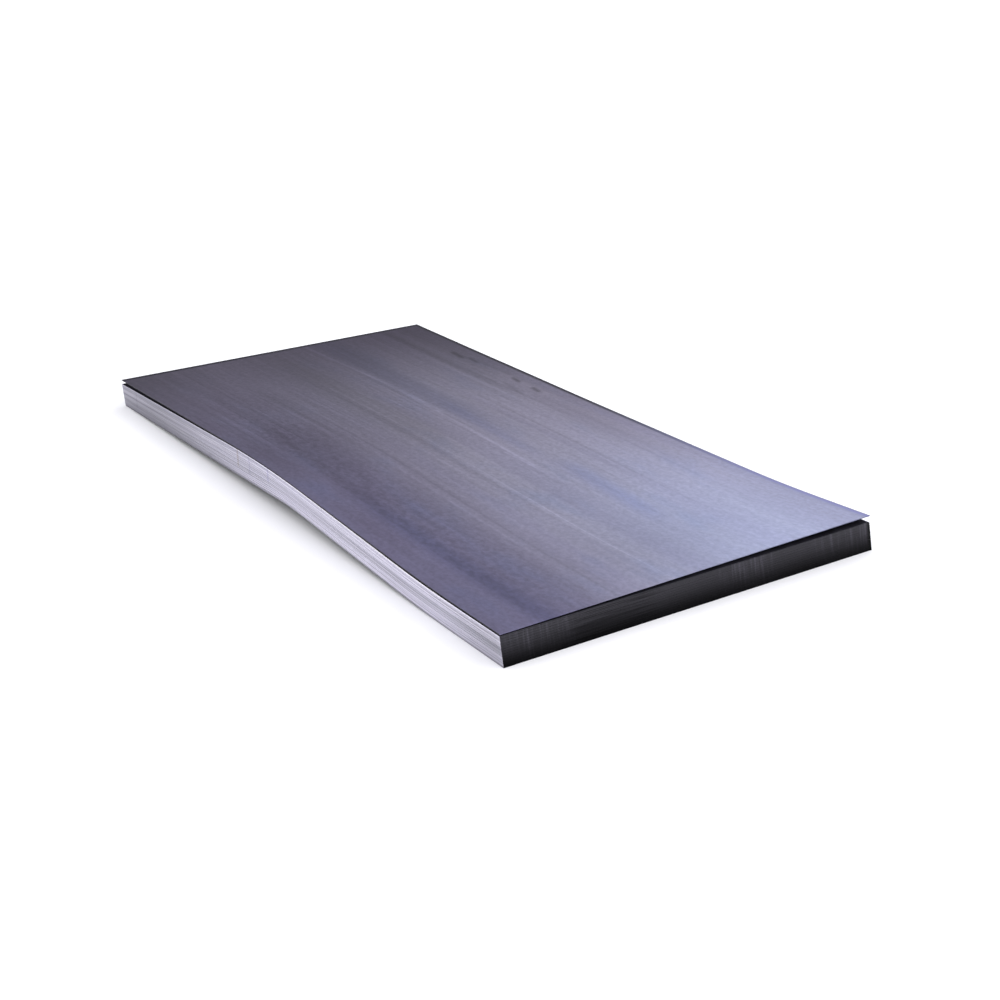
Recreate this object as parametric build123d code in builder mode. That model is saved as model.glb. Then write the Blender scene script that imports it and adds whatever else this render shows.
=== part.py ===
"""A pack of rolled steel sheets lying on a floor, with a loose top sheet that lifts at its corners."""

import math
import os

from build123d import *

# One sheet, cut to a common stock size.
sheet_length = 2500.0
sheet_width = 1250.0
sheet_thickness = 2.0
# Air that mill scale and cutting burrs keep between two sheets.
sheet_gap = 0.35
# Sheets lying under the loose top sheet.
stacked_count = 34

# One long side of the pack bows up: straight to a rounded crest, straight down to a rounded foot,
# then flat to the end. The other long side lies straight on the floor.
# Each pair holds the lowest sheet's value and the top sheet's, and the sheets between go from one to
# the other. Places and roundings along the length are shares of half the length.
crest_along_shares = (0.078, -0.05)
crest_round_shares = (0.053, 0.214)
foot_along_share = 0.712
foot_round_share = 0.12
# Heights of the bow's far end and crest above the same sheet's level, before the crest is rounded.
end_rises = (0.0, -1.0)
crest_rises = (44.0, 49.3)

# The pack leans along its length from the lowest sheet to the top one.
pack_lean = 17.0
# Single sheets slip a little past their neighbours at the ends and at the sides.
end_slip = 0.3
side_slip = 0.3
slip_turn_deg = 137.5

# The top sheet has sprung up from the pack, most of all at one corner of the straight side.
corner_lift = 18.2
# Its lift at the far end, crest, foot and near end of each long side, as shares of that corner's.
# The bowed side bends less than the sheet below, so its unrounded crest is lower where they meet.
bowed_lift_shares = (0.71, -0.04, 0.22, 0.14)
straight_lift_shares = (0.92, 0.3, 0.1, 1.0)
no_lift_shares = (0.0, 0.0, 0.0, 0.0)

sheet_pitch = sheet_thickness + sheet_gap
half_length = sheet_length / 2
half_width = sheet_width / 2


def between(pair, level):
    """The value of a pair for a sheet at this share of the way up the pack."""
    return pair[0] + (pair[1] - pair[0]) * level


def draw_bends(corners, reaches):
    """Straight runs through the corners, each inner corner rounded over its reach along the length."""
    start = corners[0]
    for before, corner, after, reach in zip(corners, corners[1:], corners[2:], reaches):
        enter = corner + (before - corner) * (reach / (corner.X - before.X))
        leave = corner + (after - corner) * (reach / (after.X - corner.X))
        Line(start, enter)
        Bezier(enter, corner, leave)
        start = leave
    Line(start, corners[-1])


def make_sheet(level, end_shift, side_shift, bowed_shares, straight_shares):
    """One sheet at its level in the pack, ruled from its bowed long side to its straight one."""
    base = level * stacked_count * sheet_pitch
    crest_along = between(crest_along_shares, level) * half_length
    alongs = (-half_length, crest_along, foot_along_share * half_length, half_length)
    reaches = (between(crest_round_shares, level) * half_length, foot_round_share * half_length)
    bow = (between(end_rises, level), between(crest_rises, level), 0, 0)
    level_run = (0, 0, 0, 0)
    bowed_plane = Plane.XZ.offset(half_width - side_shift)
    straight_plane = Plane.XZ.offset(-half_width - side_shift)
    sides = []
    for plane, rises, shares in (
        (bowed_plane, bow, bowed_shares),
        (straight_plane, level_run, straight_shares),
    ):
        under = []
        for along, rise, share in zip(alongs, rises, shares):
            under.append(Vector(along + end_shift, base + rise + corner_lift * share))
        over = [corner + Vector(0, sheet_thickness) for corner in under]
        with BuildSketch(plane) as side:
            with BuildLine():
                draw_bends(under, reaches)
                draw_bends(over, reaches)
                Line(under[0], over[0])
                Line(under[-1], over[-1])
            make_face()
        sides.append(side.sketch.face())
    return loft(sections=sides, ruled=True, mode=Mode.PRIVATE)


with BuildPart() as stacked_sheets:
    sheets = []
    for index in range(stacked_count):
        level = index / stacked_count
        slip_angle = math.radians(slip_turn_deg * index)
        lean = pack_lean * (0.5 - level)
        sheet = make_sheet(
            level,
            lean + end_slip * math.sin(slip_angle),
            side_slip * math.cos(slip_angle),
            no_lift_shares,
            no_lift_shares,
        )
        sheets.append(sheet)
    add(sheets)

with BuildPart() as top_sheet:
    add(make_sheet(1, -pack_lean / 2, 0, bowed_lift_shares, straight_lift_shares))

stacked_sheets.part.label = "stacked sheets"
top_sheet.part.label = "loose top sheet"

os.makedirs("parts", exist_ok=True)
export_step(stacked_sheets.part, "parts/stacked_sheets.step")
export_step(top_sheet.part, "parts/top_sheet.step")
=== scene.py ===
# %% [markdown]
# A pack of steel sheets
#
# The object is a low pack of thin rolled steel sheets lying on the floor. One long side of the
# pack bows up, and the loose sheet on top has sprung away from the rest at its corners. The
# CAD model fixes every place and size. Blender adds what a solid can't show: the blue-grey scale
# of the rolling mill, the bright slit edges and the dark sheared ends.

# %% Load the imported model
import math

import bpy
import numpy as np
from mathutils import Matrix, Vector


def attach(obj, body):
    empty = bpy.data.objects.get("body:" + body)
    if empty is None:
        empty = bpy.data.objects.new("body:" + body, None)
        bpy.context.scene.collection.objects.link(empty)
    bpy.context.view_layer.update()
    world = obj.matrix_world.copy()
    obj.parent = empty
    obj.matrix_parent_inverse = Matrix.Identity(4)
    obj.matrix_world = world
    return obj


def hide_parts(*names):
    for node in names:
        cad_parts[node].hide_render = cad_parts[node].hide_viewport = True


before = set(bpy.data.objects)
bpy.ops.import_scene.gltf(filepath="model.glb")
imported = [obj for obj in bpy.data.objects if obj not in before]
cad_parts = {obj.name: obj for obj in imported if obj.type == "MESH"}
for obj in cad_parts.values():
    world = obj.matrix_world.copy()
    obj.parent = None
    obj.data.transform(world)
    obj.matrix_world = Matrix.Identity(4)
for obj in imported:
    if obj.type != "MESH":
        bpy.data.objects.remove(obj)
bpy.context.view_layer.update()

# %% [markdown]
# Sizes of the pack
#
# The CAD source is in millimetres and Blender is in metres, so one factor turns the same named
# sizes into the frame's units. A pair holds the value of the lowest sheet and that of the top one.
# X runs along the sheets towards the near end, and Y across them from the bowed long side, which
# is the near one, to the straight one.

# %% Sizes repeated from the CAD source
MM = 0.001
HALF_LENGTH = 1250 * MM
HALF_WIDTH = 625 * MM
THICKNESS = 2.0 * MM
PITCH = 2.35 * MM
STACKED = 34
# The bow: where its crest and its foot lie, how far each is rounded, and how high it rises.
CREST_ALONG = (0.078 * HALF_LENGTH, -0.05 * HALF_LENGTH)
CREST_REACH = (0.053 * HALF_LENGTH, 0.214 * HALF_LENGTH)
FOOT_ALONG, FOOT_REACH = 0.712 * HALF_LENGTH, 0.12 * HALF_LENGTH
END_RISE = (0.0, -1.0 * MM)
CREST_RISE = (44.0 * MM, 49.3 * MM)
# The lean of the whole pack, and the small slips of single sheets.
LEAN = 17.0 * MM
END_SLIP, SIDE_SLIP, SLIP_TURN = 0.3 * MM, 0.3 * MM, math.radians(137.5)
# The lift of the top sheet at the far end, crest, foot and near end of its two long sides.
CORNER_LIFT = 18.2 * MM
BOWED_LIFT = [share * CORNER_LIFT for share in (0.71, -0.04, 0.22, 0.14)]
STRAIGHT_LIFT = [share * CORNER_LIFT for share in (0.92, 0.3, 0.1, 1.0)]
NO_LIFT = [0.0] * 4
print("pack of", STACKED + 1, "sheets,", round(STACKED * PITCH / MM, 1), "mm to the top sheet")

# %% [markdown]
# The bow as a height
#
# Each long side is a line with four corners: its far end, the crest, the foot and its near end.
# The two inner corners are rounded. A parabola does that with one term, and is exactly what the
# CAD source draws, so the sheets made here lie in the same place as the solids. Across its width
# a sheet runs straight from the bowed side to the other one.

# %% Height of a sheet's underside
def between(pair, level):
    """The value of a pair for a sheet at this share of the way up the pack."""
    return pair[0] + (pair[1] - pair[0]) * level


def bent_line(x, corners, heights, reaches):
    """Height at x of straight runs through the corners, with the inner corners rounded."""
    z = np.interp(x, corners, heights)
    slopes = np.diff(heights) / np.diff(corners)
    for k, reach in enumerate(reaches):
        inside = np.clip(reach - np.abs(x - corners[k + 1]), 0, None)
        z = z + (slopes[k + 1] - slopes[k]) * inside**2 / (4 * reach)
    return z


def underside(level, end_shift, bowed_lift, straight_lift):
    """A function that gives the height of this sheet's underside at a place on it."""
    corners = np.array([-HALF_LENGTH, between(CREST_ALONG, level), FOOT_ALONG, HALF_LENGTH])
    reaches = (between(CREST_REACH, level), FOOT_REACH)
    bow = np.array([between(END_RISE, level), between(CREST_RISE, level), 0.0, 0.0])
    base = level * STACKED * PITCH

    def height(x, across):
        bowed = bent_line(x - end_shift, corners, bow + bowed_lift, reaches)
        straight = bent_line(x - end_shift, corners, np.array(straight_lift), reaches)
        return base + bowed + (straight - bowed) * across

    return height


crest = underside(1, 0, NO_LIFT, NO_LIFT)(np.linspace(-0.4, 0.4, 81), 0).max()
print("top of the bow", round(crest / MM, 1), "mm")

# %% [markdown]
# The cut edge
#
# A sheet could be a box with a bend, but a cut edge isn't square. The blade draws the upper rim
# down into a small round, shears the upper half, and breaks the rest off at a slight slant. A
# guillotine also leaves a burr that hangs under the cut ends. So the edge is six rings, each with
# its inset, its share of the thickness and its share of the burr. A bevel modifier would round
# both rims alike, and couldn't make the slant or the burr.

# %% Rings round a cut edge
EDGE_RINGS = (
    (1.2 * MM, 1.0, 0.0),
    (0.14 * MM, 1.0, 0.0),
    (0.03 * MM, 0.93, 0.0),
    (0.0, 0.5, 0.0),
    (0.06 * MM, 0.0, 1.0),
    (1.2 * MM, 0.0, 0.0),
)
BURR = 0.28 * MM
# Where a face of the mesh lies on the sheet, which is also the number of its finish.
FACE, LONG_EDGE, END_EDGE, UNDERSIDE = 0, 1, 2, 3
print("a cut edge has", len(EDGE_RINGS), "rings and a burr of", round(BURR / MM, 2), "mm")

# %% [markdown]
# One sheet as a closed mesh
#
# The two faces are grids, which need many columns to bend but few rows, because a sheet is
# straight across. The rings join them round the rim. The edge of a slit strip wanders a little
# from side to side, as the knives do, so two slow waves shift it.

# %% Build a sheet's points and faces
# The two waves of the wander, in radians over a sheet's length.
SLOW_WANDER, QUICK_WANDER = 5.2, 11
STACK_COLUMNS, STACK_ROWS = 120, 4


def sheet_mesh(height, end_shift, side_shift, columns, rows, burr=BURR, wander=0.0, turn=0.0):
    """Points, each point's share along, across and up the edge, faces, and each face's finish."""
    across_all, along_all = np.meshgrid(np.arange(rows + 1), np.arange(columns + 1), indexing="ij")
    grid = np.stack([along_all.ravel(), across_all.ravel()], 1)
    rim = [(i, 0) for i in range(columns)] + [(columns, j) for j in range(rows)]
    rim += [(i, rows) for i in range(columns, 0, -1)] + [(0, j) for j in range(rows, 0, -1)]
    rim = np.array(rim)
    rim_cell = rim[:, 1] * (columns + 1) + rim[:, 0]
    last = len(EDGE_RINGS) - 1
    points, places, loops, start = [], [], [], 0
    for ring, (inset, share, drop) in enumerate(EDGE_RINGS):
        whole = ring in (0, last)
        at = grid if whole else rim
        along, across = at[:, 0] / columns, at[:, 1] / rows
        x = np.clip((2 * along - 1) * HALF_LENGTH, inset - HALF_LENGTH, HALF_LENGTH - inset)
        y = np.clip((2 * across - 1) * HALF_WIDTH, inset - HALF_WIDTH, HALF_WIDTH - inset)
        wave = np.sin(SLOW_WANDER * along + turn) * np.cos(QUICK_WANDER * along - 2 * turn)
        y = y + side_shift + wander * wave
        z = height(x + end_shift, across) + share * THICKNESS
        z = z - drop * burr * np.isin(along, (0.0, 1.0))
        points.append(np.stack([x + end_shift, y, z], 1))
        places.append(np.stack([along, across, np.full(len(at), 1 - ring / last)], 1))
        loops.append(start + (rim_cell if whole else np.arange(len(rim))))
        start += len(at)
    cell = (np.arange(rows)[:, None] * (columns + 1) + np.arange(columns)).ravel()
    top = np.stack([cell, cell + 1, cell + columns + 2, cell + columns + 1], 1)
    under = start - len(grid) + top[:, ::-1]
    walls = [
        np.stack([upper, lower, np.roll(lower, -1), np.roll(upper, -1)], 1)
        for upper, lower in zip(loops, loops[1:])
    ]
    step = np.arange(len(rim))
    at_end = ((step >= columns) & (step < columns + rows)) | (step >= 2 * columns + rows)
    wall_kind = np.tile(np.where(at_end, END_EDGE, LONG_EDGE), len(walls))
    kinds = np.concatenate([np.full(len(top), FACE), np.full(len(under), UNDERSIDE), wall_kind])
    faces = np.concatenate([top, under, *walls])
    return np.concatenate(points), np.concatenate(places), faces, kinds


trial = sheet_mesh(underside(0, 0, NO_LIFT, NO_LIFT), 0, 0, STACK_COLUMNS, STACK_ROWS)
print("one stacked sheet:", len(trial[0]), "points,", len(trial[2]), "faces")

# %% [markdown]
# A picture map with room for the edges
#
# A map named OFBake is laid out for baked pictures of the finishes. Laid out by area, an edge
# 2 mm high would get no pixels beside a face of three square metres. So the upper part of the
# picture holds the faces, with the upper face on the left of the underside. The stacked sheets
# share that part, because their faces are alike and hidden. Below it each sheet has three rows:
# the near long edge, the far one, and both ends side by side.

# %% Lay out a sheet on the picture
MARGIN = 0.005
ROW_MARGIN = 0.15
STACK_FACES_ABOVE, STACK_EDGES_BELOW, STACK_UPPER_SHARE = 0.8, 0.79, 0.5


def picture_map(places, faces, kinds, faces_above, upper_share, row_low, row_high):
    """Corner places on the picture: faces above faces_above, edges from row_low to row_high."""
    along, across, up = places[faces].transpose(2, 0, 1)
    third = (row_high - row_low) / 3
    upper = MARGIN + (upper_share - 2 * MARGIN) * along
    lower = upper_share + (1 - MARGIN - upper_share) * along
    u = np.where((kinds == FACE)[:, None], upper, lower)
    v = faces_above + (1 - MARGIN - faces_above) * across
    far_side = across.mean(1, keepdims=True) > 0.5
    near_end = along.mean(1, keepdims=True) > 0.5
    inside = third * (ROW_MARGIN + (1 - 2 * ROW_MARGIN) * up)
    long_edge, end_edge = (kinds == LONG_EDGE)[:, None], (kinds == END_EDGE)[:, None]
    u = np.where(long_edge, MARGIN + (1 - 2 * MARGIN) * along, u)
    v = np.where(long_edge, row_low + third * far_side + inside, v)
    u = np.where(end_edge, MARGIN + (0.5 - 2 * MARGIN) * across + 0.5 * near_end, u)
    v = np.where(end_edge, row_low + third * 2 + inside, v)
    return np.stack([u, v], 2)


row = STACK_EDGES_BELOW / STACKED
trial_map = picture_map(*trial[1:], STACK_FACES_ABOVE, STACK_UPPER_SHARE, 0, row)
print("corners of the trial sheet on the picture:", trial_map.shape[0] * trial_map.shape[1])

# %% [markdown]
# From sheets to a piece
#
# Several sheets can become one mesh object, which is quicker to handle than one object for each.
# The mesh is shaded smooth, so that the bow has no facets, and its edges are sharp where two faces
# meet at more than a small angle, so that the cut rims stay crisp. Every point also stores the
# number of its sheet, counted from the floor, for the finishes to read. The piece rides on the
# pack's one body and takes the place of its CAD node.

# %% Make a mesh object that rides on the pack
CRISP_ANGLE = math.radians(20)


def make_piece(name, sheets, maps, layers, finishes, node):
    """One mesh object of these sheets, with their finishes, in place of a CAD node."""
    offsets = np.cumsum([0] + [len(s[0]) for s in sheets])
    points = np.concatenate([s[0] for s in sheets])
    faces = np.concatenate([s[2] + o for s, o in zip(sheets, offsets)])
    kinds = np.concatenate([s[3] for s in sheets]).astype(np.int32)
    corners = np.concatenate(maps).astype(np.float32).ravel()
    numbers = np.repeat(layers, np.diff(offsets)).astype(np.float32)
    mesh = bpy.data.meshes.new(name)
    mesh.from_pydata(points.tolist(), [], faces.tolist())
    mesh.polygons.foreach_set("material_index", kinds)
    mesh.polygons.foreach_set("use_smooth", np.ones(len(faces), bool))
    mesh.set_sharp_from_angle(angle=CRISP_ANGLE)
    mesh.uv_layers.new(name="OFBake").data.foreach_set("uv", corners)
    mesh.attributes.new("layer", "FLOAT", "POINT").data.foreach_set("value", numbers)
    for finish in finishes:
        mesh.materials.append(finish)
    piece = bpy.data.objects.new(name, mesh)
    bpy.context.scene.collection.objects.link(piece)
    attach(piece, "root")
    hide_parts(node)
    print(name, len(points), "points,", len(faces), "faces")


print("edges sharper than", round(math.degrees(CRISP_ANGLE)), "degrees stay crisp")

# %% [markdown]
# Colours and nodes
#
# Every colour below is written as an sRGB hex value, as a paint chart would, and one function
# turns it into the linear light that a shader works in. A second small function adds any node:
# plain settings go to its sockets or properties, and sockets of other nodes become links. A third
# starts an empty material.

# %% Helpers for colours and nodes
def linear(hex_colour):
    """An sRGB hex value as linear red, green, blue and alpha."""
    values = [int(hex_colour[k : k + 2], 16) / 255 for k in (1, 3, 5)]
    return (*[c / 12.92 if c <= 0.04045 else ((c + 0.055) / 1.055) ** 2.4 for c in values], 1.0)


def add_node(tree, kind, **settings):
    """A node of this kind. in_NAME or in_INDEX sets or links an input; other names are properties."""
    node = tree.nodes.new("ShaderNode" + kind)
    for key, value in settings.items():
        if not key.startswith("in_"):
            setattr(node, key, value)
    for key, value in settings.items():
        if key.startswith("in_"):
            name = key[3:]
            socket = node.inputs[int(name) if name.isdigit() else name.replace("_", " ")]
            if isinstance(value, bpy.types.NodeSocket):
                tree.links.new(value, socket)
            else:
                socket.default_value = value
    return node


def new_finish(name):
    """An empty material, its nodes, and the place on the pack, in metres, as a socket."""
    finish = bpy.data.materials.new(name)
    finish.use_nodes = True
    tree = finish.node_tree
    tree.nodes.clear()
    coords = add_node(tree, "TexCoord").outputs["Object"]
    return finish, tree, coords


print("violet-grey scale is", [round(c, 3) for c in linear("#8a869b")])

# %% [markdown]
# Grain and patches
#
# Rolling draws every mark on a sheet out along its length. Noise does the same when its
# coordinates are divided by a mark's real length and width. Marks and stains also have a place on
# the sheet. A patch is made of soft fades multiplied together, along the length, across the width
# or up the pack, so that nothing starts with a hard line. Painted masks would do too, but fades
# need no picture and stay smooth at any distance.

# %% Grain and patches
# One pixel of the render spans about this much of the pack. Finer marks are drawn coarser.
PIXEL_MM = 3.2


def drawn_grain(tree, coords, long_mm, wide_mm, detail):
    """Noise drawn out into marks about this long and this wide, in millimetres."""
    sized = add_node(
        tree, "VectorMath", operation="MULTIPLY", in_0=coords,
        in_1=(1 / (long_mm * MM), 1 / (wide_mm * MM), 0.0),
    ).outputs[0]
    return add_node(
        tree, "TexNoise", in_Vector=sized, in_Scale=1.0, in_Detail=detail, in_Roughness=0.55,
    ).outputs["Fac"]


def patch(tree, *fades):
    """The share of a soft patch, which is the product of its fades.

    A fade is a value, where it starts and stops, and the share at each. A share that is ready
    may stand in for one.
    """
    share = None
    for fade in fades:
        if not isinstance(fade, bpy.types.NodeSocket):
            value, start, stop, at_start, at_stop = fade
            fade = add_node(
                tree, "MapRange", interpolation_type="SMOOTHSTEP", in_Value=value,
                in_From_Min=start, in_From_Max=stop, in_To_Min=at_start, in_To_Max=at_stop,
            ).outputs[0]
        if share is not None:
            fade = add_node(tree, "Math", operation="MULTIPLY", in_0=share, in_1=fade).outputs[0]
        share = fade
    return share


print("a streak 6 mm wide is", round(6 / PIXEL_MM, 1), "pixels wide in the render")

# %% [markdown]
# Cover, shade and tint
#
# Three things happen to the colour inside a patch. Another tone covers it, as thick scale covers
# thin. It is shaded, darker or lighter, as by dirt or wear. Or it is tinted, as through a film of
# oil or a thinner oxide. Each is one step below, and the finishes are made by taking such steps
# one after another.

# %% Three steps for a colour
def cover(tree, below, above, *fades):
    """One colour laid over another inside a patch."""
    share = patch(tree, *fades)
    return add_node(tree, "Mix", data_type="RGBA", in_0=share, in_6=below, in_7=above).outputs[2]


def shade(tree, colour, *fades):
    """The colour made darker or lighter by a patch's share."""
    return add_node(
        tree, "Mix", data_type="RGBA", blend_type="MULTIPLY", in_0=1.0, in_6=colour,
        in_7=patch(tree, *fades),
    ).outputs[2]


def tint(tree, colour, film, *fades):
    """The colour as it looks through a film of this hex colour, inside a patch."""
    filmed = add_node(
        tree, "Mix", data_type="RGBA", blend_type="MULTIPLY", in_0=1.0, in_6=colour,
        in_7=linear(film),
    ).outputs[2]
    return cover(tree, colour, filmed, *fades)


print("steps for a colour:", ", ".join(step.__name__ for step in (cover, shade, tint)))

# %% [markdown]
# Rolled mill scale: its tones
#
# Hot-rolled sheet leaves the mill with a thin skin of iron oxide, pressed flat by the rolls. The
# eye gets a dark blue-grey with a soft metallic sheen, drawn out into streaks along the rolling
# direction. The colour follows the skin's thickness, so it drifts over the sheet. Along the bowed
# side it is more violet and darker, partly the skin's own tone and partly painted shade for the
# dimmer reflection there. Towards the near end it is bluer, partly the skin's tone and partly a
# painted reflection of the bluish card. Towards the far end it is darkest, as painted shade where
# the sheet mirrors the dim flag.

# %% Material: rolled mill scale, tones
mill_scale, tree, coords = new_finish("hot_rolled_mill_scale")
place = add_node(tree, "SeparateXYZ", in_0=coords)
along, across = place.outputs["X"], place.outputs["Y"]
bands = drawn_grain(tree, coords, 5000, 140, 3.0)
clouds = drawn_grain(tree, coords, 420, 150, 4.0)
tone = cover(tree, linear("#8a869b"), linear("#9490a2"), (bands, 0.3, 0.7, 0, 1))
# Along the bowed side a darker violet tone: partly the skin's own, partly painted shade.
bowed_side_tone_and_shade = cover(tree, linear("#706a80"), linear("#78748b"), (clouds, 0.3, 0.7, 0, 1))
colour = cover(tree, tone, bowed_side_tone_and_shade, (across, -0.47, -0.06, 1.0, 0.0))
# Bluer towards the near end: partly thinner skin, partly a painted reflection of the bluish card.
# The skin is also thinner and bluer here and there in clouds.
colour = tint(
    tree, colour, "#eaf7ff", (along, -0.2, 1.2, 0.0, 1.0), (across, -0.3, 0.2, 0.25, 1.0),
)
colour = tint(tree, colour, "#dcecff", (clouds, 0.5, 0.75, 0.0, 0.4))
# Towards the straight side it darkens and loses a little green.
colour = shade(tree, colour, (across, 0.3, 0.65, 1.0, 0.72))
colour = tint(tree, colour, "#fffcff", (across, 0.4, 0.56, 0.0, 1.0))
# Painted shade: darker towards the far end, most of all at the straight side.
far_end_painted_shade = cover(tree, linear("#6d6778"), linear("#4a4357"), (across, -0.5, 0.6, 0, 1))
colour = cover(tree, colour, far_end_painted_shade, (along, -1.35, -0.3, 0.95, 0.0))
print(mill_scale.name, "tones:", len(tree.nodes), "nodes")

# %% [markdown]
# Rolled mill scale: its grain
#
# Four sizes of grain lie over the tones: soft stripes about a finger wide, thin streaks, the
# crystals of the scale, and a mottle of crystals in clumps. On real scale the streaks are
# hairlines and the crystals are far under a millimetre. Both are too fine to show here, so the
# streaks are drawn 6 mm wide and the crystals as a speckle of 13 mm.

# %% Material: rolled mill scale, grain
stripes = drawn_grain(tree, coords, 1700, 20, 3.0)
streaks = drawn_grain(tree, coords, 900, 6, 3.0)
speckle = drawn_grain(tree, coords, 13, 12, 4.0)
mottle = drawn_grain(tree, coords, 30, 20, 2.0)
# Each grain with the darkest and the lightest share of the tone that it gives.
SCALE_GRAINS = (
    (stripes, 0.945, 1.045),
    (streaks, 0.972, 1.025),
    (speckle, 0.9, 1.1),
    (mottle, 0.94, 1.06),
)
for grain, darkest, lightest in SCALE_GRAINS:
    colour = shade(tree, colour, (grain, 0.25, 0.75, darkest, lightest))
print(mill_scale.name, "with", len(SCALE_GRAINS), "grains:", len(tree.nodes), "nodes")

# %% [markdown]
# Rolled mill scale: marks of the rolls
#
# Rolls, guides and scrapers leave long straight marks, light where they rubbed the skin and dark
# where dirt was pressed in. Broad bands follow them, where the skin is thinner or thicker. Noise
# would put them anywhere, so each is a soft line with its own place, half width and brightness.

# %% A soft straight mark
# A mark comes and goes over this share of its length.
MARK_FADE = 0.3


def roll_mark(tree, place, start_mm, stop_mm, half_width_mm):
    """The share of a soft straight mark that runs from start to stop."""
    (x0, y0), (x1, y1) = start_mm, stop_mm
    slope = (y1 - y0) / (x1 - x0)
    along, across = place.outputs["X"], place.outputs["Y"]
    line = add_node(
        tree, "Math", operation="MULTIPLY_ADD", in_0=along, in_1=slope, in_2=(y0 - slope * x0) * MM,
    ).outputs[0]
    aside = add_node(tree, "Math", operation="SUBTRACT", in_0=across, in_1=line).outputs[0]
    aside = add_node(tree, "Math", operation="ABSOLUTE", in_0=aside).outputs[0]
    fade = (x1 - x0) * MM * MARK_FADE
    return patch(
        tree, (aside, 0.0, half_width_mm * MM, 1.0, 0.0),
        (along, x0 * MM, x0 * MM + fade, 0, 1), (along, x1 * MM - fade, x1 * MM, 1, 0),
    )


print("marks fade over", round(100 * MARK_FADE), "% of their length at each end")

# %% Material: rolled mill scale, marks and bands
# Start, stop and half width in millimetres, with the brightness that the mark reaches.
ROLL_MARKS = (
    ((-1450, 103), (-560, 128), 12, 1.24),
    ((-900, 124), (-330, 119), 9, 1.18),
    ((-520, 121), (-150, 108), 18, 1.24),
    ((-330, 112), (500, 82), 12, 1.24),
    ((150, 76), (450, 84), 5, 1.12),
    ((-600, -68), (1600, -84), 4, 1.16),
    ((-1400, 338), (1400, 312), 10, 0.87),
    ((-1500, 458), (-100, 448), 30, 0.74),
    ((-400, -250), (1600, -262), 9, 0.86),
    ((-200, -280), (1500, -284), 10, 1.1),
    ((-1000, -90), (700, -104), 24, 0.88),
    ((-400, -474), (1700, -476), 34, 0.92),
    ((-870, 538), (-735, 530), 19, 0.52),
    ((-760, 550), (-660, 542), 14, 0.6),
    ((-460, 546), (-375, 538), 15, 0.5),
    ((-325, 542), (-240, 528), 17, 0.5),
    ((-430, 490), (-250, 464), 14, 0.78),
)
# Broad bands where the scale is thinner or thicker, in the same form.
SCALE_BANDS = (
    ((-1200, -500), (-100, -500), 260, 1.2),
    ((-1500, -300), (-600, -300), 180, 1.13),
    ((-1400, 560), (-350, 560), 130, 0.8),
    ((-500, 390), (750, 390), 130, 1.12),
    ((-400, 575), (500, 575), 70, 1.1),
    ((-700, 120), (1250, 120), 320, 1.08),
    ((-1350, 190), (150, 185), 120, 0.83),
    ((-1300, -50), (300, -55), 130, 0.79),
    ((200, -195), (1700, -205), 70, 1.11),
)
for start_mm, stop_mm, half_width_mm, reach in ROLL_MARKS + SCALE_BANDS:
    share = roll_mark(tree, place, start_mm, stop_mm, half_width_mm)
    level = add_node(tree, "Math", operation="MULTIPLY_ADD", in_0=share, in_1=reach - 1, in_2=1.0)
    colour = shade(tree, colour, level.outputs[0])
print(len(ROLL_MARKS), "roll marks and", len(SCALE_BANDS), "bands:", len(tree.nodes), "nodes")

# %% [markdown]
# Rolled mill scale: blue stains, thick skin and rims of painted shade
#
# Where the hot sheet cooled slowly, a thin oxide shows as a blue stain, broken up by the speckle.
# Along the bowed side the skin is thicker, violet and grainy, and it ends in a sharp line short of
# the edge. The outermost strip at the straight side and at the far end is nearly black, as painted
# shade along the edges of the sheet.

# %% Material: rolled mill scale, stains and rims
# Blue stains in the form of the marks, with the strength of their tint.
BLUE_STAINS = (
    ((120, -500), (1600, -470), 60, 0.42),
    ((300, 190), (960, 160), 60, 0.45),
    ((-420, 180), (330, 150), 45, 0.25),
    ((-1600, 190), (250, 185), 110, 0.3),
)
for start_mm, stop_mm, half_width_mm, reach in BLUE_STAINS:
    share = roll_mark(tree, place, start_mm, stop_mm, half_width_mm)
    colour = tint(tree, colour, "#cfdfff", share, (speckle, 0.2, 0.6, 0.6 * reach, reach))
# The thick skin, with its sharp line first.
grainy = shade(tree, colour, (mottle, 0.3, 0.7, 0.8, 0.94))
colour = cover(
    tree, colour, grainy, (across, -0.509, -0.499, 0.0, 1.0), (across, -0.44, -0.27, 1.0, 0.0),
    (along, -0.68, -0.3, 0.0, 1.0), (along, 0.8, 1.3, 1.0, 0.6),
)
colour = tint(
    tree, colour, "#f0eeff", (along, -0.7, 0.3, 0.0, 0.5), (across, -0.45, -0.28, 1.0, 0.0),
)
# Painted shade: the dark rims. The one at the straight side is bluer towards the near end.
rim_shade_tone = cover(tree, linear("#2b2836"), linear("#5a5b84"), (along, -0.2, 1.0, 0, 1))
side_rim_shade = (across, HALF_WIDTH - 22 * MM, HALF_WIDTH - 10 * MM, 0.0, 1.0)
colour = cover(tree, colour, rim_shade_tone, side_rim_shade)
far_end = -HALF_LENGTH - LEAN / 2
end_rim_shade = (along, far_end + 10 * MM, far_end + 30 * MM, 1.0, 0.0)
colour = cover(tree, colour, linear("#2e2b3a"), end_rim_shade)
print(len(BLUE_STAINS), "blue stains, thick skin and rims:", len(tree.nodes), "nodes")

# %% [markdown]
# Rolled mill scale: its shine
#
# Scale pressed by rolls shines like satin metal: fully metallic, with a roughness near 0.4 that
# changes a little from streak to streak. The speckle lifts the surface by a fraction of a
# millimetre, which breaks up the reflection.

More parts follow.
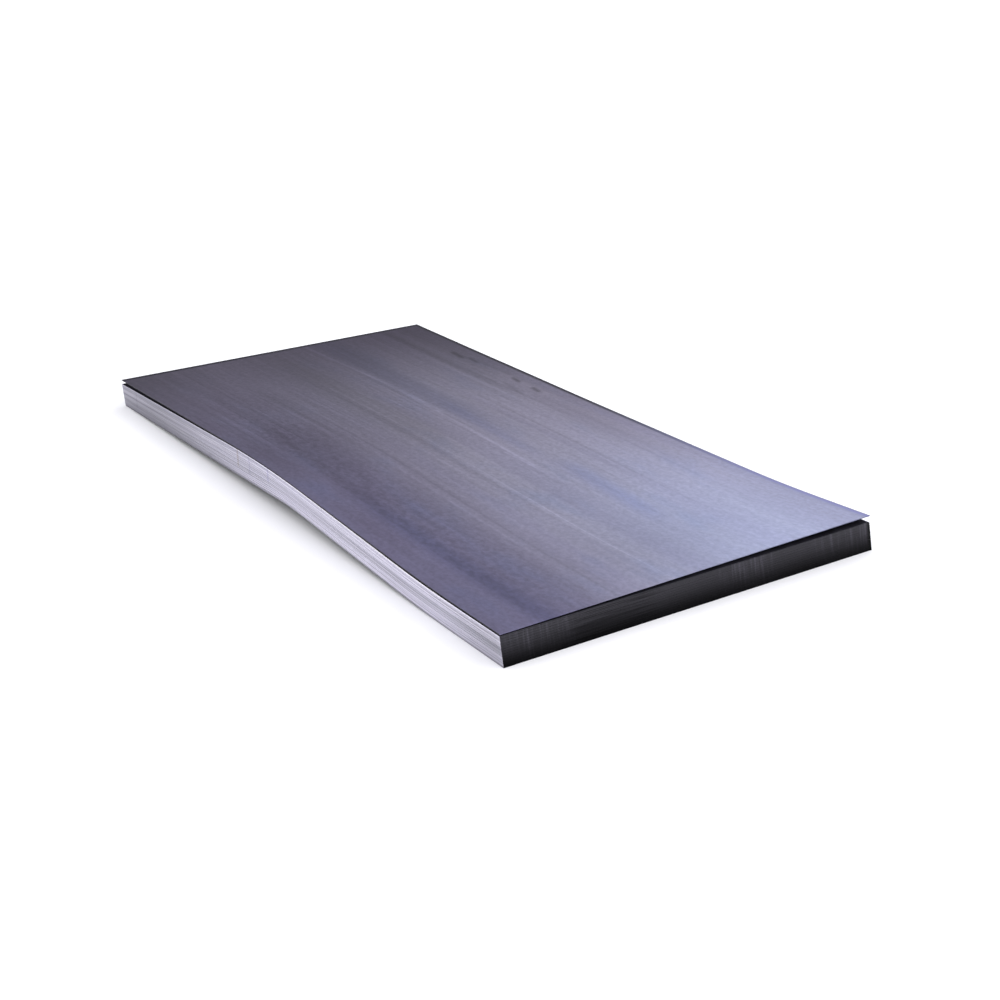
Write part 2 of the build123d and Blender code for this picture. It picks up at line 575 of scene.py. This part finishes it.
# %% Material: rolled mill scale, shine
bump = add_node(tree, "Bump", in_Strength=0.1, in_Distance=0.2 * MM, in_Height=speckle)
shader = add_node(
    tree, "BsdfPrincipled", in_Base_Color=colour, in_Metallic=1.0,
    in_Roughness=patch(tree, (streaks, 0.3, 0.7, 0.37, 0.44)), in_Normal=bump.outputs[0],
)
add_node(tree, "OutputMaterial", in_Surface=shader.outputs[0])
print(mill_scale.name, len(tree.nodes), "nodes")

# %% [markdown]
# Faces inside the pack
#
# Between the sheets the faces are only seen in the gap under the lifted corners, as a nearly black
# line. That line is shade, so this finish is painted shade: a nearly black colour. A metal would
# mirror the bright floor there at a flat angle, so this finish is a matt one: not metallic, and
# with no mirror part.

# %% Material: mill scale in painted shade
gap_shade_scale, tree, coords = new_finish("oiled_mill_scale")
film = drawn_grain(tree, coords, 700, 60, 4.0)
# Painted shade: a nearly black tone for the faces seen only in the gap.
colour = cover(tree, linear("#26252b"), linear("#34333a"), (film, 0.3, 0.7, 0, 1))
bump = add_node(tree, "Bump", in_Strength=0.1, in_Distance=0.2 * MM, in_Height=film)
shader = add_node(
    tree, "BsdfPrincipled", in_Base_Color=colour, in_Specular_IOR_Level=0.0,
    in_Roughness=patch(tree, (film, 0.3, 0.7, 0.55, 0.68)), in_Normal=bump.outputs[0],
)
add_node(tree, "OutputMaterial", in_Surface=shader.outputs[0])
print(gap_shade_scale.name, len(tree.nodes), "nodes")

# %% [markdown]
# Slit long edges: their tones
#
# The long sides were slit from a wide coil by rotary knives, which leave bright bare steel. To the
# eye they are pale silver with fine lines, one for each sheet. Each sheet comes from its own length
# of coil, so its tone differs a little, and groups of sheets from one coil are alike. The sheet
# number stored on the points becomes the second coordinate of the noise: each sheet reads it a
# step further on, and so has a tone of its own that drifts along the length.

# %% Material: slit bare steel, tones
slit_steel, tree, coords = new_finish("slit_bare_steel")
layer = add_node(tree, "Attribute", attribute_name="layer").outputs["Fac"]
place = add_node(tree, "SeparateXYZ", in_0=coords)
along, across = place.outputs["X"], place.outputs["Y"]
SLIT_STEP = 3.7 * MM
apart = add_node(tree, "Math", operation="MULTIPLY", in_0=layer, in_1=SLIT_STEP).outputs[0]
own = add_node(tree, "CombineXYZ", in_X=along, in_Y=apart).outputs[0]
single = drawn_grain(tree, own, 1500, 1.9, 1.0)
groups = drawn_grain(tree, own, 4000, 13, 2.0)
colour = cover(tree, linear("#c2c0ce"), linear("#e1deea"), (groups, 0.3, 0.7, 0, 1))
colour = shade(tree, colour, (single, 0.25, 0.75, 0.86, 1.06))
print(slit_steel.name, "tones:", len(tree.nodes), "nodes")

# %% [markdown]
# Slit long edges: dull and bright stretches
#
# The bare steel is darker in some stretches. It is greyest at the far end and darker again at the
# near corner. The sheets in the middle of the pack are a little grey, the lowest ones are the
# darkest, and the topmost ones are the brightest. At the far end the upper sheets are lighter
# than the lower ones. Single sheets are smeared with oil for a stretch.

# %% Material: slit bare steel, dull and bright stretches
grey = add_node(
    tree, "Math", operation="ADD", in_0=patch(tree, (along, -0.4, 0.6, 0.02, 0.12)),
    in_1=patch(tree, (along, 0.95, 1.25, 0.0, 0.12)),
).outputs[0]
middle = patch(tree, (layer, 9, 16, 0, 1), (layer, 19, 27, 1, 0), grey)
topmost = patch(tree, (layer, 30, 33, 0.0, 1.0), (along, -0.3, 0.2, 0.1, 0.26))
upwards = patch(tree, (layer, 4, 30, -0.1, 0.1), (along, -0.7, 0.0, 1.0, 0.0))
smeared = drawn_grain(tree, own, 1300, 3.3, 1.0)
colour = shade(
    tree, colour, (along, -1.0, 0.0, 0.66, 1.135), (along, 0.9, 1.27, 1.0, 0.76),
    add_node(tree, "Math", operation="SUBTRACT", in_0=1.0, in_1=middle).outputs[0],
    (layer, -1, 3, 0.35, 1.0),
    add_node(tree, "Math", operation="ADD", in_0=1.0, in_1=topmost).outputs[0],
    add_node(tree, "Math", operation="ADD", in_0=1.0, in_1=upwards).outputs[0],
    (smeared, 0.58, 0.7, 1.0, 0.72),
)
print(slit_steel.name, "with its dull stretches:", len(tree.nodes), "nodes")

# %% [markdown]
# Slit long edges: oil smears and shine
#
# On the bowed side a few upright smears of dried oil cross many sheets. Bare steel that was cut,
# and not polished, has a broken shine: metallic, with a roughness of about 0.4 to 0.55 and a fine
# grain along the cut.

# %% Material: slit bare steel, smears and shine
# Place along the side and half width in millimetres, lowest sheet, strength and film.
SMEARS = (
    (-255, 10, 10, 0.6, "#d8cdc0"),
    (-170, 7, 8, 0.45, "#c9c8de"),
    (-38, 8, 13, 0.52, "#c4c3e0"),
    (-1120, 8, 6, 0.4, "#cfcad4"),
)
# A smear thins out downwards over this many sheets.
SMEAR_FADE = 4
bowed_side = patch(tree, (across, -0.1, 0.1, 1.0, 0.0))
for along_mm, half_width_mm, lowest, reach, film in SMEARS:
    aside = add_node(tree, "Math", operation="SUBTRACT", in_0=along, in_1=along_mm * MM).outputs[0]
    aside = add_node(tree, "Math", operation="ABSOLUTE", in_0=aside).outputs[0]
    colour = tint(
        tree, colour, film, bowed_side, (aside, 0.0, half_width_mm * MM, reach, 0.0),
        (layer, lowest, lowest + SMEAR_FADE, 0.0, 1.0),
    )
grain = drawn_grain(tree, own, 160, 1.9, 2.0)
bump = add_node(tree, "Bump", in_Strength=0.2, in_Distance=0.2 * MM, in_Height=grain)
shader = add_node(
    tree, "BsdfPrincipled", in_Base_Color=colour, in_Metallic=1.0,
    in_Roughness=patch(tree, (grain, 0.3, 0.7, 0.38, 0.55)), in_Normal=bump.outputs[0],
)
add_node(tree, "OutputMaterial", in_Surface=shader.outputs[0])
print(slit_steel.name, len(SMEARS), "smears,", len(tree.nodes), "nodes")

# %% [markdown]
# Sheared ends: the blade's marks
#
# The ends were cut by a guillotine. Their nearly black colour is painted shade, for the shade that
# the ends lie in, with upright streaks of the blade that run over many sheets at once. Here the
# height takes the place of the length in the noise, which turns the grain upright. In three
# stretches the blade scored the cut lighter. The lower sheets are the darkest, as painted shade
# towards the floor. Real scores are hairlines, too fine to show, so they are drawn 9 mm wide.

# %% Material: sheared steel in painted shade, blade marks
sheared_steel, tree, coords = new_finish("oiled_sheared_steel")
layer = add_node(tree, "Attribute", attribute_name="layer").outputs["Fac"]
place = add_node(tree, "SeparateXYZ", in_0=coords)
across = place.outputs["Y"]
turned = add_node(tree, "CombineXYZ", in_X=place.outputs["Z"], in_Y=across).outputs[0]
blade = drawn_grain(tree, turned, 160, 9, 4.0)
# Stretches across the pack where the blade scored the cut, and how softly they start and stop.
SCORED = ((-0.64, -0.36), (0.04, 0.33), (0.38, 0.70))
SCORED_FADE = 0.1
scored = patch(tree, (blade, 0.42, 0.75, 0.0, 0.15))
for start, stop in SCORED:
    inside = patch(
        tree, (across, start, start + SCORED_FADE, 0.0, 1.0),
        (across, stop - SCORED_FADE, stop, 1.0, 0.0), (blade, 0.42, 0.75, 0.0, 0.85),
    )
    scored = add_node(tree, "Math", operation="ADD", in_0=scored, in_1=inside).outputs[0]
# Painted shade: a nearly black base, with the lighter scores of the blade.
colour = cover(tree, linear("#3a393d"), linear("#525057"), scored)
# Painted shade: darker towards the lower sheets.
colour = shade(tree, colour, (layer, 0.0, STACKED, 0.16, 1.57))
print(sheared_steel.name, len(SCORED), "scored stretches,", len(tree.nodes), "nodes")

# %% [markdown]
# Sheared ends: wiped rows and shine
#
# Over one part of the cut, oil wiped along it left single sheets darker than their neighbours.
# The corner at the straight side is dark for the last centimetre. Oil over a rough cut gives a
# dull metal, with a roughness of 0.5 to 0.6.

# %% Material: sheared steel in painted shade, wiped rows and shine
colour = shade(tree, colour, (across, HALF_WIDTH - 16 * MM, HALF_WIDTH - 4 * MM, 1.0, 0.25))
SHEARED_STEP = 1 * MM
apart = add_node(tree, "Math", operation="MULTIPLY", in_0=layer, in_1=SHEARED_STEP).outputs[0]
own = add_node(tree, "CombineXYZ", in_X=across, in_Y=apart).outputs[0]
wiped = patch(
    tree, (drawn_grain(tree, own, 260, 1.3, 1.0), 0.42, 0.6, 0.0, 0.45),
    (across, -0.46, -0.38, 0.2, 1.0), (across, -0.2, -0.1, 1.0, 0.2),
)
kept = add_node(tree, "Math", operation="SUBTRACT", in_0=1.0, in_1=wiped).outputs[0]
colour = shade(tree, colour, kept)
bump = add_node(tree, "Bump", in_Strength=0.2, in_Distance=0.2 * MM, in_Height=blade)
shader = add_node(
    tree, "BsdfPrincipled", in_Base_Color=colour, in_Metallic=1.0,
    in_Roughness=patch(tree, (blade, 0.3, 0.7, 0.5, 0.62)), in_Normal=bump.outputs[0],
)
add_node(tree, "OutputMaterial", in_Surface=shader.outputs[0])
print(sheared_steel.name, len(tree.nodes), "nodes")

# %% [markdown]
# The stacked sheets
#
# A loop sets the sheets one on another, each a step further along the lean and slipped a little
# past its neighbours, as in the CAD source. An array modifier would be shorter, but every sheet
# has its own bend. The lowest sheet has no burr, because that would reach into the floor.

# %% Make the stack
WANDER = 0.3 * MM
sheets, maps = [], []
for index in range(STACKED):
    level = index / STACKED
    angle = SLIP_TURN * index
    end_shift = LEAN * (0.5 - level) + END_SLIP * math.sin(angle)
    side_shift = SIDE_SLIP * math.cos(angle)
    height = underside(level, end_shift, NO_LIFT, NO_LIFT)
    burr = BURR if index else 0.0
    sheet = sheet_mesh(
        height, end_shift, side_shift, STACK_COLUMNS, STACK_ROWS, burr, WANDER, angle,
    )
    sheets.append(sheet)
    maps.append(picture_map(
        *sheet[1:], STACK_FACES_ABOVE, STACK_UPPER_SHARE, index * row, (index + 1) * row,
    ))
make_piece(
    "sheet_stack", sheets, maps, range(STACKED),
    (gap_shade_scale, slit_steel, sheared_steel, gap_shade_scale), "stacked_sheets",
)

# %% [markdown]
# The loose top sheet
#
# The top sheet is the one that shows its face, so its grid is finer. Rolled sheet is never quite
# flat: two crossing ripples a fraction of a millimetre high make its reflections swim. Its long
# edges take the dark sheared finish, which is painted shade, and scale covers its cut ends, so its
# rim shows as a thin dark line over the bright side of the pack.

# %% Make the top sheet
TOP_COLUMNS, TOP_ROWS = 200, 80
TOP_FACES_ABOVE, TOP_EDGES_BELOW, TOP_UPPER_SHARE = 0.07, 0.06, 0.7
RIPPLE = 0.25 * MM
# Each ripple's radians per metre along and across, and where it starts.
RIPPLES = ((7.1, 2.3, 0.0), (-1.9, 4.3, 0.7))


def rippled(height):
    """The same height with the sheet's shallow ripples on it."""

    def with_ripples(x, across):
        y = (2 * across - 1) * HALF_WIDTH
        first, second = (np.sin(a * x + b * y + start) for a, b, start in RIPPLES)
        return height(x, across) + RIPPLE * (1 + first * second)

    return with_ripples


top_height = rippled(underside(1, -LEAN / 2, BOWED_LIFT, STRAIGHT_LIFT))
sheet = sheet_mesh(top_height, -LEAN / 2, 0.0, TOP_COLUMNS, TOP_ROWS)
top_map = picture_map(*sheet[1:], TOP_FACES_ABOVE, TOP_UPPER_SHARE, 0.0, TOP_EDGES_BELOW)
make_piece(
    "top_sheet_rolled", [sheet], [top_map], [STACKED],
    (mill_scale, sheared_steel, mill_scale, gap_shade_scale), "top_sheet",
)

# %% [markdown]
# The floor
#
# The pack lies on a plain pale floor, painted and matt, with a faint unevenness from the roller.
# It is wide enough to reach past the view from every side.

# %% Floor
FLOOR_HALF = 60.0
floor_mesh = bpy.data.meshes.new("studio_floor")
square = [(-1, -1), (1, -1), (1, 1), (-1, 1)]
corners = [(x * FLOOR_HALF, y * FLOOR_HALF, 0.0) for x, y in square]
floor_mesh.from_pydata(corners, [], [(0, 1, 2, 3)])
floor = bpy.data.objects.new("studio_floor", floor_mesh)
bpy.context.scene.collection.objects.link(floor)
pale_floor, tree, coords = new_finish("pale_painted_floor")
mottle = drawn_grain(tree, coords, 900, 900, 3.0)
colour = cover(tree, linear("#f5f5f6"), linear("#f9f9fa"), mottle)
bump = add_node(tree, "Bump", in_Strength=0.05, in_Distance=0.5 * MM, in_Height=mottle)
shader = add_node(
    tree, "BsdfPrincipled", in_Base_Color=colour,
    in_Roughness=patch(tree, (mottle, 0.3, 0.7, 0.75, 0.85)), in_Normal=bump.outputs[0],
)
add_node(tree, "OutputMaterial", in_Surface=shader.outputs[0])
floor_mesh.materials.append(pale_floor)
print("floor", 2 * FLOOR_HALF, "m square")

# %% [markdown]
# The studio dome
#
# Soft light comes from a wide pale dome. It is weak at the horizon, which the sheet mirrors at the
# photograph's low angle and so stays dark, and strong higher up, which keeps the floor white. Right
# overhead it is dimmed again, so that the sheet is dark from above too. Towards the far end the
# dome is nearly unlit, like a black flag in a studio, and the sheet grows darker that way. The
# camera itself sees a plain white backdrop in place of the dome.

# %% Dome
HORIZON_LIGHT, HIGH_LIGHT, OVERHEAD_SHARE = 0.385, 1.8, 0.44
FLAG_SHARE, OPEN_SHARE = 0.14, 1.24
world = bpy.data.worlds.new("studio_dome")
bpy.context.scene.world = world
world.use_nodes = True
tree = world.node_tree
tree.nodes.clear()
direction = add_node(tree, "SeparateXYZ", in_0=add_node(tree, "TexCoord").outputs["Generated"])
along, upward = direction.outputs["X"], direction.outputs["Z"]
strength = patch(
    tree, (upward, 0.0, 0.9, HORIZON_LIGHT, HIGH_LIGHT),
    (along, -0.98, -0.45, FLAG_SHARE, OPEN_SHARE), (upward, 0.75, 0.95, 1.0, OVERHEAD_SHARE),
)
dome = add_node(tree, "Background", in_Color=linear("#fbfbff"), in_Strength=strength)
backdrop = add_node(tree, "Background", in_Color=linear("#fdfdfd"), in_Strength=1.0)
seen = add_node(tree, "LightPath").outputs["Is Camera Ray"]
surround = add_node(
    tree, "MixShader", in_0=seen, in_1=dome.outputs[0], in_2=backdrop.outputs[0],
)
add_node(tree, "OutputWorld", in_Surface=surround.outputs[0])
print("dome from", HORIZON_LIGHT, "at the horizon to", HIGH_LIGHT, "higher up")

# %% [markdown]
# A soft card
#
# A wide card of light stands behind the straight side. The near end of the sheet mirrors it, and
# so that end is the brightest and bluest part of the face.

# %% Card of light
CARD_PLACE, CARD_AIM = Vector((-1.5, 5.0, 2.1)), Vector((0.9, 0.0, 0.1))
CARD_WIDTH, CARD_HEIGHT, CARD_WATTS = 4.6, 2.4, 64
light = bpy.data.lights.new("far_side_card", "AREA")
light.color = linear("#ecf0ff")[:3]
light.shape, light.size, light.size_y = "RECTANGLE", CARD_WIDTH, CARD_HEIGHT
light.energy = CARD_WATTS
card = bpy.data.objects.new("far_side_card", light)
card.location = CARD_PLACE
card.rotation_euler = (CARD_AIM - CARD_PLACE).to_track_quat("-Z", "Y").to_euler()
bpy.context.scene.collection.objects.link(card)
print("card", CARD_WIDTH, "by", CARD_HEIGHT, "m with", CARD_WATTS, "W")

# %% [markdown]
# Camera
#
# The photograph was taken from beyond the near corner, a little above the pack. The direction,
# distance and lens were fitted to the pack's corners, so the outline falls on the photograph's.
# The camera's three axes are worked out from its angles and become its matrix, which leaves no
# doubt about the order of turns.

# %% Camera
AZIMUTH, ELEVATION, ROLL = math.radians(56.883), math.radians(21.709), math.radians(-0.839)
DISTANCE, ASIDE, ABOVE = 5148.34 * MM, 156.67 * MM, -104.14 * MM
FOCAL_SHARE, SENSOR = 1.5877, 36.0
NEAREST, FARTHEST = 0.1, 300.0
level_reach = math.cos(ELEVATION)
back = Vector((
    math.sin(AZIMUTH) * level_reach, -math.cos(AZIMUTH) * level_reach, math.sin(ELEVATION),
))
right = Vector((math.cos(AZIMUTH), math.sin(AZIMUTH), 0.0))
up = back.cross(right)
stand = back * DISTANCE + right * ASIDE + up * ABOVE + Vector((LEAN / 2, 0, 0))
rolled_right = right * math.cos(ROLL) + up * math.sin(ROLL)
rolled_up = up * math.cos(ROLL) - right * math.sin(ROLL)
lens = bpy.data.cameras.new("camera")
lens.sensor_width, lens.lens = SENSOR, SENSOR * FOCAL_SHARE
lens.clip_start, lens.clip_end = NEAREST, FARTHEST
camera = bpy.data.objects.new("camera", lens)
camera.matrix_world = Matrix((rolled_right, rolled_up, back)).transposed().to_4x4()
camera.matrix_world.translation = stand
bpy.context.scene.collection.objects.link(camera)
bpy.context.scene.camera = camera
bpy.context.scene.view_settings.view_transform = "Standard"
print("camera at", [round(v, 3) for v in stand], "lens", round(lens.lens, 1), "mm")
